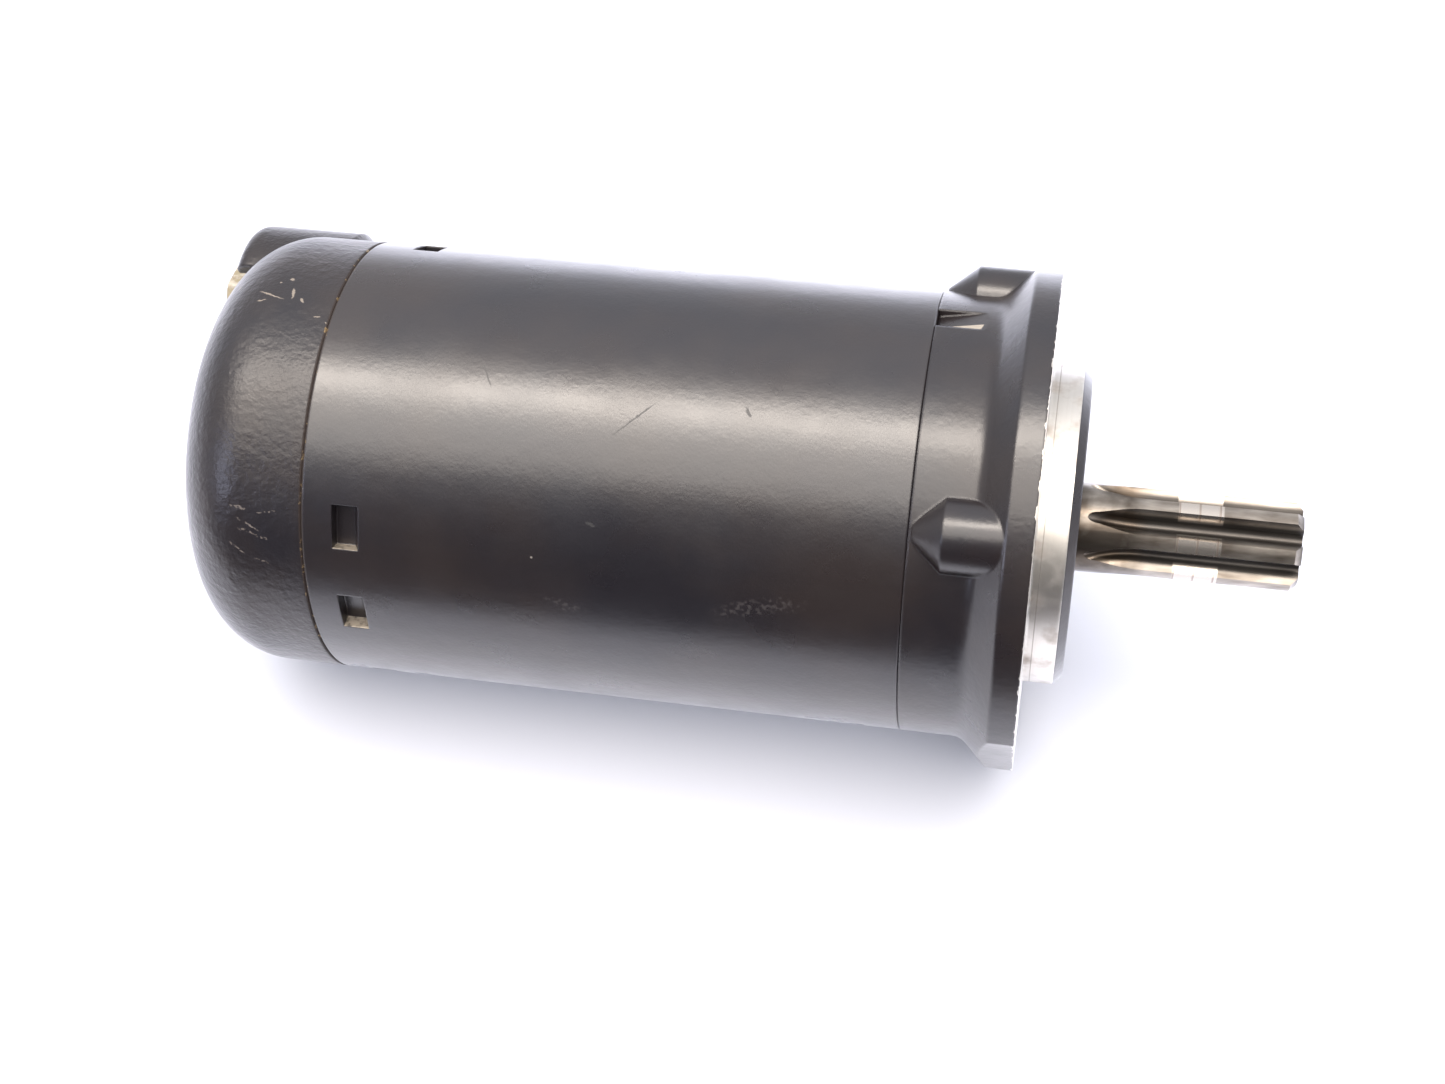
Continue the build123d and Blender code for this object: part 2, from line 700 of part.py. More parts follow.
def slotted_disc(bore, outer):
    """Ring with the winding slots, drawn in the sketch that is open."""
    Circle(outer)
    Circle(bore, mode=Mode.SUBTRACT)
    with PolarLocations((slot_top + slot_bottom) / 2, slot_count):
        Rectangle(core_slot_depth, core_slot_width, mode=Mode.SUBTRACT)
    with PolarLocations(core_radius, slot_count):
        Rectangle(2 * lip_thickness + 0.4, core_slot_mouth, mode=Mode.SUBTRACT)


with BuildPart() as armature_core:
    with BuildSketch(ring_plane(core_rear)):
        slotted_disc(core_bore_radius + fit_gap / 2, core_radius)
    extrude(amount=core_front - core_rear)
save("armature_core", armature_core)

with BuildPart() as core_end_insulators:
    for x in (core_rear - end_insulator, core_front):
        with BuildSketch(ring_plane(x)):
            slotted_disc(core_bore_radius + fit_gap / 2, core_radius - 0.4)
        extrude(amount=end_insulator)
save("core_end_insulators", core_end_insulators)

turns_front = core_front + end_insulator + front_turns_length
riser_front = commutator_front + riser_length
with BuildPart() as armature_windings:
    with BuildSketch(Plane.XY):
        with BuildLine():
            Polyline(
                (core_front + end_insulator, core_bore_radius + 1.0),
                (turns_front - 1.5, core_bore_radius + 1.0),
                (turns_front, core_bore_radius + 3.0),
                (turns_front, slot_top - 3.5),
                (turns_front - 3.0, slot_top - 0.3),
                (core_front + end_insulator, slot_top - 0.3),
                close=True,
            )
        make_face()
        with BuildLine():
            Polyline(
                (core_rear - end_insulator, core_bore_radius + 1.0),
                (riser_front + 0.3, core_bore_radius + 1.0),
                (riser_front + 0.3, riser_radius - 0.2),
                (riser_front + 4.0, riser_radius + 1.5),
                (core_rear - end_insulator - 3.0, slot_top - 0.3),
                (core_rear - end_insulator, slot_top - 0.3),
                close=True,
            )
        make_face()
    revolve(axis=Axis.X)
    with BuildSketch(ring_plane(core_rear - end_insulator - 0.5)):
        with PolarLocations((slot_top + slot_bottom) / 2, slot_count):
            Rectangle(core_slot_depth - 0.2, core_slot_width - 0.2)
    extrude(amount=core_front - core_rear + 2 * end_insulator + 1)
save("armature_windings", armature_windings)

with BuildPart() as commutator_bars:
    for x, outer, length in (
        (commutator_rear, commutator_radius, commutator_length),
        (commutator_front, riser_radius, riser_length),
    ):
        with BuildSketch(ring_plane(x)):
            Circle(outer)
            Circle(commutator_radius - bar_thickness, mode=Mode.SUBTRACT)
            with PolarLocations(commutator_radius, slot_count):
                Rectangle(3 * bar_thickness, bar_gap, mode=Mode.SUBTRACT)
        extrude(amount=length)
save("commutator_bars", commutator_bars)

with BuildPart() as commutator_hub:
    with BuildSketch(ring_plane(commutator_rear)):
        Circle(commutator_radius - bar_thickness - 0.02)
        with PolarLocations(commutator_radius - bar_thickness, slot_count):
            Rectangle(2 * bar_thickness - 1.0, bar_gap - 0.1)
        Circle(hub_seat_radius + fit_gap / 2, mode=Mode.SUBTRACT)
    extrude(amount=commutator_length + riser_length)
save("commutator_hub", commutator_hub)

with BuildPart() as thrust_washers:
    for x in (bush_front + 0.05, bush_front + 0.05 + washer_stack / 2):
        with BuildSketch(ring_plane(x)):
            Circle(rear_journal_radius + 3.0)
            Circle(rear_journal_radius + fit_gap, mode=Mode.SUBTRACT)
        extrude(amount=washer_stack / 2 - 0.02)
save("thrust_washers", thrust_washers)

# ---------------------------------------------------------------- brush gear
brush_angles = (0.0, 90.0, 180.0, 270.0)
insulated = (0.0, 180.0)
holder_insulation = 0.8
brush_inner = commutator_radius + brush_face_gap
brush_outer = brush_inner + brush_length
window_thickness = brush_thickness + 2 * slide_gap
window_width = brush_width + 2 * slide_gap
holder_rear = brush_centre - window_thickness / 2 - holder_wall
holder_inner_radius = commutator_radius + 1.5
holder_length = holder_outer_radius - holder_inner_radius
cap_radius = holder_outer_radius - holder_wall
lead_radius = 0.6
lead_place = brush_outer - 2.0
lead_side = 7.0
lead_bend = 1.4
lead_rear = holder_rear - 2.0

with BuildPart() as brush_plate:
    with BuildSketch(ring_plane(plate_rear)):
        Circle(register_radius - 0.3)
        Circle(brush_plate_bore, mode=Mode.SUBTRACT)
        with Locations(*[(bolt_circle_radius * cos(radians(a)), bolt_circle_radius * sin(radians(a)))
                         for a in bolt_angles]):
            Circle(bolt_radius + 0.3, mode=Mode.SUBTRACT)
    extrude(amount=brush_plate_thickness)
save("brush_plate", brush_plate)

for number, angle in enumerate(brush_angles, start=1):
    holder_front = plate_rear - (holder_insulation if angle in insulated else 0.0)
    if angle in insulated:
        with BuildPart() as holder_insulator:
            with Locations(turn(angle, holder_inner_radius + 2.0, plate_rear)):
                Box(holder_insulation, holder_length - 2.0, window_width + 2.4 * holder_wall,
                    align=(Align.MAX, Align.MIN, Align.CENTER))
        save(f"holder_insulator_{1 + insulated.index(angle)}", holder_insulator)

    with BuildPart() as brush_holder:
        with Locations(turn(angle, holder_inner_radius, holder_rear)):
            Box(holder_front - holder_rear, holder_length, window_width + 2 * holder_wall,
                align=(Align.MIN, Align.MIN, Align.CENTER))
        with Locations(turn(angle, 0, brush_centre)):
            Box(window_thickness, cap_radius, window_width,
                align=(Align.CENTER, Align.MIN, Align.CENTER), mode=Mode.SUBTRACT)
        # Slot that the brush's lead travels in
        with Locations(turn(angle, lead_place - lead_radius - 0.5, holder_rear)):
            Box(4 * holder_wall, brush_travel + 2 * lead_radius + 1.0, 2 * lead_radius + 1.2,
                align=(Align.CENTER, Align.MIN, Align.CENTER), mode=Mode.SUBTRACT)
    save(f"brush_holder_{number}", brush_holder)

    with BuildPart() as brush:
        with Locations(turn(angle, brush_inner - 2.0, brush_centre)):
            Box(brush_thickness, brush_length + 2.0, brush_width,
                align=(Align.CENTER, Align.MIN, Align.CENTER))
        with Locations(Location((brush_centre, 0, 0), (0, 90, 0))):
            Cylinder(brush_inner, 2 * brush_thickness, mode=Mode.SUBTRACT)
    save(f"brush_{number}", brush)

    spring_low = brush_outer + spring_wire_radius + 0.05
    spring_high = cap_radius - spring_wire_radius - 0.05
    with BuildPart() as brush_spring:
        with BuildLine(Plane.XY) as coil:
            Helix((spring_high - spring_low) / spring_turns, spring_high - spring_low, spring_radius)
        with BuildSketch(Plane(origin=coil.edge() @ 0, z_dir=coil.edge() % 0)):
            Circle(spring_wire_radius)
        sweep(is_frenet=True)
    placed = Plane(
        origin=(brush_centre, spring_low * cos(radians(angle)), spring_low * sin(radians(angle))),
        x_dir=(1, 0, 0),
        z_dir=(0, cos(radians(angle)), sin(radians(angle))),
    )
    with BuildPart() as brush_spring_placed:
        add(brush_spring.part.moved(placed.location))
    save(f"brush_spring_{number}", brush_spring_placed)

    with BuildPart() as brush_lead:
        lead_plane = Plane(
            origin=(0, lead_place * cos(radians(angle)), lead_place * sin(radians(angle))),
            x_dir=(1, 0, 0),
            z_dir=(0, cos(radians(angle)), sin(radians(angle))),
        )
        lead_start = brush_centre - brush_thickness / 2
        with BuildLine(lead_plane):
            FilletPolyline(
                (lead_start, 0), (lead_rear, 0), (lead_rear, -lead_side), (plate_rear, -lead_side),
                radius=lead_bend,
            )
        with BuildSketch(Plane(origin=lead_plane.from_local_coords((lead_start, 0, 0)), z_dir=(-1, 0, 0))):
            Circle(lead_radius)
        sweep()
    save(f"brush_lead_{number}", brush_lead)

# ---------------------------------------------------------------- terminal
stud_head = 3.0
stud_head_width = 8.0
head_rear = inner_wall + insulator_flange
head_front = head_rear + stud_head
collar_rear = terminal_seat - collar_height
washer_rear = collar_rear - washer_thickness
nut_rear = washer_rear - nut_thickness
stud_end = nut_rear - 0.6


def along_stud(x):
    """Place on the stud's axis at x, with local Z pointing out to the rear."""
    place = Location(turn(terminal_angle, terminal_circle_radius, x)) * Location((0, 0, 0), (0, -90, 0))
    return place


with BuildPart() as terminal_stud:
    with Locations(along_stud(head_rear)):
        Cylinder(stud_radius, head_rear - stud_end, align=(Align.CENTER, Align.CENTER, Align.MIN))
    chamfer(terminal_stud.edges().group_by(Axis.X)[0], 0.5)
    with Locations(along_stud(head_rear)):
        Box(stud_head_width, stud_head_width, stud_head, align=(Align.CENTER, Align.CENTER, Align.MAX))
save("terminal_stud", terminal_stud)

with BuildPart() as terminal_insulator:
    with Locations(along_stud(head_rear)):
        Cylinder(insulator_radius + insulator_lip, insulator_flange,
                 align=(Align.CENTER, Align.CENTER, Align.MIN))
        Cylinder(insulator_radius, head_rear - terminal_seat,
                 align=(Align.CENTER, Align.CENTER, Align.MIN))
        Cylinder(stud_radius + fit_gap, head_rear - terminal_seat,
                 align=(Align.CENTER, Align.CENTER, Align.MIN), mode=Mode.SUBTRACT)
save("terminal_insulator", terminal_insulator)

with BuildPart() as terminal_collar:
    with Locations(along_stud(terminal_seat)):
        Cylinder(collar_radius, collar_height, align=(Align.CENTER, Align.CENTER, Align.MIN))
        Cylinder(stud_radius + fit_gap, collar_height, align=(Align.CENTER, Align.CENTER, Align.MIN),
                 mode=Mode.SUBTRACT)
        Cylinder(stud_radius + 1.5, collar_recess, align=(Align.CENTER, Align.CENTER, Align.MIN),
                 mode=Mode.SUBTRACT)
save("terminal_collar", terminal_collar)

with BuildPart() as terminal_o_ring:
    with Locations(along_stud(terminal_seat - collar_recess / 2)):
        Torus(stud_radius + terminal_ring_offset, terminal_ring_radius)
save("terminal_o_ring", terminal_o_ring)

with BuildPart() as terminal_washer:
    with Locations(along_stud(collar_rear)):
        Cylinder(washer_radius, washer_thickness, align=(Align.CENTER, Align.CENTER, Align.MIN))
        Cylinder(stud_radius + 0.2, washer_thickness, align=(Align.CENTER, Align.CENTER, Align.MIN),
                 mode=Mode.SUBTRACT)
save("terminal_washer", terminal_washer)

nut_corner = nut_across_flats / 2 / cos(pi / 6)
with BuildPart() as terminal_nut:
    with BuildSketch(Plane(along_stud(washer_rear))):
        RegularPolygon(nut_corner, 6)
    extrude(amount=nut_thickness)
    with Locations(along_stud(washer_rear)):
        Cone(nut_corner + nut_thickness - 0.25, nut_corner - 0.25, nut_thickness,
             align=(Align.CENTER, Align.CENTER, Align.MIN), mode=Mode.INTERSECT)
        Cylinder(stud_radius + fit_gap, nut_thickness, align=(Align.CENTER, Align.CENTER, Align.MIN),
                 mode=Mode.SUBTRACT)
save("terminal_nut", terminal_nut)

bus_thickness = 0.8
bus_inner = terminal_circle_radius - 2.4
bus_outer = terminal_circle_radius + 1.1
bus_tab_width = 3.0
with BuildPart() as terminal_bus:
    with BuildSketch(ring_plane(head_front)):
        Circle(bus_outer)
        Circle(bus_inner, mode=Mode.SUBTRACT)
        with Locations((0, -4.0)):
            Rectangle(4 * body_radius, 2 * body_radius, align=(Align.CENTER, Align.MIN),
                      mode=Mode.INTERSECT)
    extrude(amount=bus_thickness)
    with Locations(*[turn(a, bus_inner + 0.3, head_front) for a in insulated]):
        Box(holder_rear - head_front, bus_outer - bus_inner - 0.6, bus_tab_width,
            align=(Align.MIN, Align.MIN, Align.CENTER))
save("terminal_bus", terminal_bus)
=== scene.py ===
"""Looks of a motorcycle starter motor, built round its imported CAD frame. Blender units are metres."""

import json
import math

import bmesh
import bpy
from mathutils import Matrix, Vector


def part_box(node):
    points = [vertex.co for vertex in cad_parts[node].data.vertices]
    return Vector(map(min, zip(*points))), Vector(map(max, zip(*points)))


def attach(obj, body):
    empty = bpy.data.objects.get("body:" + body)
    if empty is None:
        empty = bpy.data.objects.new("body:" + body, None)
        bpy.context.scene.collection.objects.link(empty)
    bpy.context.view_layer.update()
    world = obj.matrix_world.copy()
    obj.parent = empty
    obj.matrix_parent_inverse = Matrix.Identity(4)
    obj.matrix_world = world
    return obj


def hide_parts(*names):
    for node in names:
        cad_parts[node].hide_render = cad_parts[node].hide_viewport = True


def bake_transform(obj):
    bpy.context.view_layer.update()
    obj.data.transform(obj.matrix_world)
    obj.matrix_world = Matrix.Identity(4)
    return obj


MM = 0.001

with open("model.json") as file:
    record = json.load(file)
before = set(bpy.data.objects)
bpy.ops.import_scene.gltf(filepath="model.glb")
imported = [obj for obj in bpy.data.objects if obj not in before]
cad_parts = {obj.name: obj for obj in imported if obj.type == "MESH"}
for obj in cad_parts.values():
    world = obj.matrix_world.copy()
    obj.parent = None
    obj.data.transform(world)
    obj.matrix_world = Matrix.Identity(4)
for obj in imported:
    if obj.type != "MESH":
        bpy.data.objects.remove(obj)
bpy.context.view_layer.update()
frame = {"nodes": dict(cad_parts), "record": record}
nodes = frame["nodes"]

# ------------------------------------------------------------------ places taken from the frame
yoke_low, yoke_high = (Vector(corner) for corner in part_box("yoke_tube"))
front_low = Vector(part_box("front_cover")[0])
rear_low = Vector(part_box("rear_cover")[0])
body_radius = yoke_high.z
flange_radius = -front_low.z
front_seam = yoke_high.x
rear_seam = yoke_low.x
mounts = {mount["name"]: mount for mount in frame["record"]["mounts"]}
chamfer_start = mounts["spigot"]["dims"]["length_mm"] * MM


def link(obj):
    """Puts an object in the scene."""
    bpy.context.scene.collection.objects.link(obj)
    return obj


# ------------------------------------------------------------------ camera
# The motor lies on its side and is seen from above its front, with the pinion turned a little
# towards the lens. The camera stands at an angle up from the front, looks at the middle of the motor
# and leans over by a few degrees.
camera_height_angle = math.radians(50.5)
camera_distance = 323.23 * MM
camera_along = 2.07 * MM
camera_aim = Vector((-46.33, -5.97, -4.92)) * MM
camera_lean = math.radians(-4.693)

camera_data = bpy.data.cameras.new("camera")
camera_data.lens = 54.27
camera_data.sensor_width = 36.0
camera = link(bpy.data.objects.new("camera", camera_data))
camera_place = Vector((
    camera_along,
    -camera_distance * math.cos(camera_height_angle),
    camera_distance * math.sin(camera_height_angle)))
gaze = (camera_aim - camera_place).to_track_quat("-Z", "Y").to_matrix()
leaned_gaze = gaze @ Matrix.Rotation(camera_lean, 3, "Z")
camera.matrix_world = Matrix.Translation(camera_place) @ leaned_gaze.to_4x4()
bpy.context.scene.camera = camera


# ------------------------------------------------------------------ material tools
def linear(hex_colour):
    """A sRGB hex colour as linear red, green, blue and alpha."""
    parts = [int(hex_colour[i:i + 2], 16) / 255 for i in (1, 3, 5)]
    return tuple(p / 12.92 if p <= 0.04045 else ((p + 0.055) / 1.055) ** 2.4 for p in parts) + (1.0,)


def add(tree, kind, inputs, **settings):
    """Adds a node with its settings; inputs is a dict of socket name or number to a value or a link."""
    node = tree.nodes.new(kind)
    for key, value in settings.items():
        setattr(node, key, value)
    for key, value in inputs.items():
        if isinstance(value, bpy.types.NodeSocket):
            tree.links.new(value, node.inputs[key])
        else:
            node.inputs[key].default_value = value
    return node


def new_material(name, colour, roughness, metallic=0.0):
    """A material with its shader, and the object's own coordinates to hang patterns on."""
    material = bpy.data.materials.new(name)
    material.use_nodes = True
    tree = material.node_tree
    shader = tree.nodes["Principled BSDF"]
    shader.inputs["Base Color"].default_value = linear(colour)
    shader.inputs["Roughness"].default_value = roughness
    shader.inputs["Metallic"].default_value = metallic
    place = add(tree, "ShaderNodeTexCoord", {}).outputs["Object"]
    return material, tree, shader, place


def mottle(tree, place, size, detail=3.0, low=0.35, high=0.65):
    """Cloudy 0-1 pattern whose blobs are about size metres across."""
    cloud = add(tree, "ShaderNodeTexNoise", {"Vector": place, "Scale": 0.5 / size, "Detail": detail})
    spread = add(tree, "ShaderNodeMapRange", {
        "Value": cloud.outputs[0], "From Min": low, "From Max": high})
    return spread.outputs[0]


def times(tree, first, second):
    """One pattern times another, or times a number: two masks meet where both are 1."""
    return add(tree, "ShaderNodeMath", {0: first, 1: second}, operation="MULTIPLY").outputs[0]


def two_tone(tree, share, first, second):
    """The first colour where share is 0, the second where it is 1."""
    mixed = add(tree, "ShaderNodeMix", {0: share, 6: linear(first), 7: linear(second)},
                data_type="RGBA")
    return mixed.outputs[2]


def set_bump(tree, shader, height, depth):
    """Raises the surface by height, a 0-1 pattern, times depth in metres."""
    bump = add(tree, "ShaderNodeBump", {"Height": height, "Distance": depth, "Strength": 1.0})
    tree.links.new(bump.outputs[0], shader.inputs["Normal"])
    return bump


def eased(tree, shader, radius):
    """Softens the corners between faces by radius, the run of paint or the cast fillet there."""
    corner = add(tree, "ShaderNodeBevel", {"Radius": radius}, samples=6)
    bump = shader.inputs["Normal"].links[0].from_node
    while bump.inputs["Normal"].is_linked:
        bump = bump.inputs["Normal"].links[0].from_node
    tree.links.new(corner.outputs[0], bump.inputs["Normal"])


def grained(name, colour, other, grain, roughness, rougher, metallic, depth, stretch=(1, 1, 1)):
    """A finish with a grain of a real size: its colour and roughness drift between two values."""
    material, tree, shader, place = new_material(name, colour, roughness, metallic)
    laid = add(tree, "ShaderNodeMapping", {"Vector": place, "Scale": stretch}).outputs[0]
    coarse = mottle(tree, place, 9 * grain)
    fine = mottle(tree, laid, grain)
    tree.links.new(two_tone(tree, times(tree, coarse, fine), colour, other), shader.inputs["Base Color"])
    rough = add(tree, "ShaderNodeMapRange", {"Value": fine, "To Min": roughness, "To Max": rougher})
    tree.links.new(rough.outputs[0], shader.inputs["Roughness"])
    set_bump(tree, shader, fine, depth)
    return material


def band(tree, value, low, high, soft):
    """1 between low and high, falling to 0 over soft on each side."""
    rise = add(tree, "ShaderNodeMapRange", {"Value": value, "From Min": low - soft, "From Max": low})
    fall = add(tree, "ShaderNodeMapRange", {"Value": value, "From Min": high + soft, "From Max": high})
    return times(tree, rise.outputs[0], fall.outputs[0])


def unrolled(tree, place, radius):
    """The place along the shaft, the distance from its axis, and the wall's coordinates laid flat:
    along the shaft, and round it from +Y towards +Z."""
    axis = add(tree, "ShaderNodeSeparateXYZ", {0: place}).outputs
    angle = add(tree, "ShaderNodeMath", {0: axis[2], 1: axis[1]}, operation="ARCTAN2").outputs[0]
    flat = add(tree, "ShaderNodeCombineXYZ", {0: axis[0], 1: times(tree, angle, radius)}).outputs[0]
    outwards = add(tree, "ShaderNodeVectorMath", {0: place, 1: (0, 1, 1)}, operation="MULTIPLY").outputs[0]
    reach = add(tree, "ShaderNodeVectorMath", {0: outwards}, operation="LENGTH").outputs["Value"]
    return axis[0], reach, flat


def facing(tree, place):
    """How far a surface faces away from the shaft's axis, and how far round it, each from -1 to 1."""
    normal = add(tree, "ShaderNodeNewGeometry", {}).outputs["True Normal"]
    outwards = add(tree, "ShaderNodeVectorMath", {0: place, 1: (0, 1, 1)}, operation="MULTIPLY").outputs[0]
    unit = add(tree, "ShaderNodeVectorMath", {0: outwards}, operation="NORMALIZE").outputs[0]
    round_it = add(tree, "ShaderNodeVectorMath", {0: (1, 0, 0), 1: unit}, operation="CROSS_PRODUCT")
    away = add(tree, "ShaderNodeVectorMath", {0: normal, 1: unit}, operation="DOT_PRODUCT")
    turned = add(tree, "ShaderNodeVectorMath", {0: normal, 1: round_it.outputs[0]}, operation="DOT_PRODUCT")
    return away.outputs["Value"], turned.outputs["Value"]


def marks_on(tree, flat, marks, radius, ragged):
    """Small scratches and chips: each is (x, degrees round, length, width, lean), in millimetres."""
    cloud = add(tree, "ShaderNodeTexNoise", {"Vector": flat, "Scale": 1 / ragged, "Detail": 4.0})
    shift = add(tree, "ShaderNodeVectorMath", {0: cloud.outputs["Color"], 1: (0.5, 0.5, 0.5)},
                operation="SUBTRACT")
    moved = add(tree, "ShaderNodeVectorMath", {0: shift.outputs[0], 3: ragged}, operation="SCALE")
    torn = add(tree, "ShaderNodeVectorMath", {0: flat, 1: moved.outputs[0]}, operation="ADD").outputs[0]
    total = 0.0
    for x, degrees, length, width, lean in marks:
        at = (x * MM, math.radians(degrees) * radius, 0)
        spot = add(tree, "ShaderNodeMapping", {
            "Vector": torn, "Location": at, "Rotation": (0, 0, math.radians(lean)),
            "Scale": (length / 2 * MM, width / 2 * MM, 1)}, vector_type="TEXTURE")
        far = add(tree, "ShaderNodeVectorMath", {0: spot.outputs[0]}, operation="LENGTH")
        inside = add(tree, "ShaderNodeMapRange", {
            "Value": far.outputs["Value"], "From Min": 1.15, "From Max": 0.75})
        total = add(tree, "ShaderNodeMath", {0: total, 1: inside.outputs[0]}, operation="MAXIMUM").outputs[0]
    return total


def blended(tree, shader, share, colour, roughness, metallic):
    """Lays a second finish over the shader where share is 1."""
    for socket, value in (("Base Color", colour), ("Roughness", roughness), ("Metallic", metallic)):
        under = shader.inputs[socket]
        first = under.links[0].from_socket if under.is_linked else under.default_value
        if socket == "Base Color":
            first = first if under.is_linked else tuple(first)
            mixed = add(tree, "ShaderNodeMix", {0: share, 6: first, 7: value},
                        data_type="RGBA").outputs[2]
        else:
            mixed = add(tree, "ShaderNodeMix", {0: share, 2: first, 3: value}).outputs[0]
        tree.links.new(mixed, under)


# ------------------------------------------------------------------ painted finishes
PAINT = "#0f0d10"
PAINT_WARM = "#171211"
DUST = "#7d766c"


def specks(tree, place, spacing, size, seed):
    """Sparse round dust specks."""
    moved = add(tree, "ShaderNodeMapping", {"Vector": place, "Location": (seed, seed, seed)}).outputs[0]
    cells = add(tree, "ShaderNodeTexVoronoi", {"Vector": moved, "Scale": 1 / spacing})
    dot = add(tree, "ShaderNodeMapRange", {
        "Value": cells.outputs["Distance"], "From Min": size / spacing, "From Max": 0.4 * size / spacing})
    pick = add(tree, "ShaderNodeSeparateColor", {0: cells.outputs["Color"]})
    chosen = add(tree, "ShaderNodeMath", {0: pick.outputs[0], 1: 0.8}, operation="GREATER_THAN").outputs[0]
    return times(tree, dot.outputs[0], chosen)


def seam_grime(tree, shader, x, seam):
    """Old grease and rust in the joint between the tube and a cover, with a few bright metal specks."""
    place = add(tree, "ShaderNodeTexCoord", {}).outputs["Object"]
    half_width = 0.26 * MM
    in_seam = band(tree, x, seam - half_width, seam + half_width, 0.05 * MM)
    shine = mottle(tree, place, 0.6 * MM, low=0.62, high=0.66)
    blended(tree, shader, in_seam, linear("#160d09"), 0.7, 0.0)
    blended(tree, shader, times(tree, in_seam, shine), linear("#62533d"), 0.45, 0.8)


def satin_tube_paint():
    """Black stoving paint on a drawn steel tube: smooth and satin, a faint orange peel, dust specks,
    rubbed patches and bare sheared metal with a painted highlight on one side wall of each lanced stop."""
    material, tree, shader, place = new_material("satin_black_stoving_paint_on_steel", PAINT, 0.36)
    shader.inputs["Specular IOR Level"].default_value = 0.42
    x, _, flat = unrolled(tree, place, body_radius)
    warmth = mottle(tree, place, 9 * MM)
    tree.links.new(two_tone(tree, warmth, PAINT, PAINT_WARM), shader.inputs["Base Color"])
    # Paint peel has lumps of about 2 mm, with finer grit on top
    peel = add(tree, "ShaderNodeTexNoise", {"Vector": place, "Scale": 0.5 / MM, "Detail": 2.0}).outputs[0]
    grit = add(tree, "ShaderNodeTexNoise", {"Vector": place, "Scale": 2.2 / MM, "Detail": 2.0}).outputs[0]
    height = add(tree, "ShaderNodeMath", {0: peel, 1: times(tree, grit, 0.45)}, operation="ADD").outputs[0]
    set_bump(tree, shader, height, 0.03 * MM)
    rubbed = mottle(tree, flat, 5 * MM, detail=6.0, low=0.3, high=0.75)
    rough = add(tree, "ShaderNodeMapRange", {"Value": rubbed, "To Min": 0.26, "To Max": 0.34})
    tree.links.new(rough.outputs[0], shader.inputs["Roughness"])
    scratches = (
        (-55.8, 115, 8.1, 0.28, -44), (-77, 106.5, 4.4, 0.25, 63),
        (-60, 141, 1.4, 0.5, 20), (-40, 110, 1.6, 0.5, 60))
    dark = marks_on(tree, flat, scratches, body_radius, 0.5 * MM)
    blended(tree, shader, times(tree, dark, 0.8), linear("#0b0909"), 0.6, 0.0)
    scuff = marks_on(tree, flat, ((-36, 158, 13, 2.6, -12), (-64, 163, 5, 1.2, 20)), body_radius, 2.5 * MM)
    fine = mottle(tree, flat, 0.35 * MM, low=0.5, high=0.6)
    faint = times(tree, times(tree, scuff, fine), 0.3)
    blended(tree, shader, faint, linear("#3a3634"), 0.5, 0.0)
    dust = specks(tree, place, 9 * MM, 0.32 * MM, 0.013)
    blended(tree, shader, dust, linear(DUST), 0.7, 0.0)
    rust = specks(tree, place, 13 * MM, 0.35 * MM, 0.041)
    blended(tree, shader, rust, linear("#6a3a20"), 0.7, 0.0)
    # One side wall of each stop, the one facing back round the tube, faces up to the overhead light on the
    # side towards the camera and gets a pale colour: bare sheared metal, with a painted highlight.
    away, turned = facing(tree, place)
    upright = add(tree, "ShaderNodeMath", {0: away, 1: 0.0, 2: 0.4}, operation="COMPARE").outputs[0]
    backward = add(tree, "ShaderNodeMath", {0: turned, 1: -0.5}, operation="LESS_THAN").outputs[0]
    side = times(tree, upright, backward)
    torn = mottle(tree, place, 0.5 * MM, low=0.3, high=0.5)
    blended(tree, shader, times(tree, side, torn), linear("#7b7265"), 0.5, 0.4)
    seam_grime(tree, shader, x, rear_seam)
    eased(tree, shader, 0.35 * MM)
    return material


def cast_paint(name, peel_depth, rough_low, rough_high, gloss):
    """Black paint on a die casting, thicker than on the tube, with the casting's skin showing
    through as a lumpy orange peel of 1 to 2 mm."""
    material, tree, shader, place = new_material(name, PAINT, rough_low)
    shader.inputs["Specular IOR Level"].default_value = gloss
    warmth = mottle(tree, place, 7 * MM)
    tree.links.new(two_tone(tree, warmth, PAINT, PAINT_WARM), shader.inputs["Base Color"])
    lumps = add(tree, "ShaderNodeTexNoise", {"Vector": place, "Scale": 0.75 / MM, "Detail": 3.0}).outputs[0]
    pores = add(tree, "ShaderNodeTexNoise", {"Vector": place, "Scale": 1.6 / MM, "Detail": 2.0}).outputs[0]
    height = add(tree, "ShaderNodeMath", {0: lumps, 1: times(tree, pores, 0.4)}, operation="ADD").outputs[0]
    set_bump(tree, shader, height, peel_depth)
    patchy = mottle(tree, place, 6 * MM, detail=5.0, low=0.3, high=0.7)
    rough = add(tree, "ShaderNodeMapRange", {"Value": patchy, "To Min": rough_low, "To Max": rough_high})
    tree.links.new(rough.outputs[0], shader.inputs["Roughness"])
    dust = specks(tree, place, 10 * MM, 0.32 * MM, 0.027)
    blended(tree, shader, dust, linear(DUST), 0.7, 0.0)
    return material, tree, shader, place


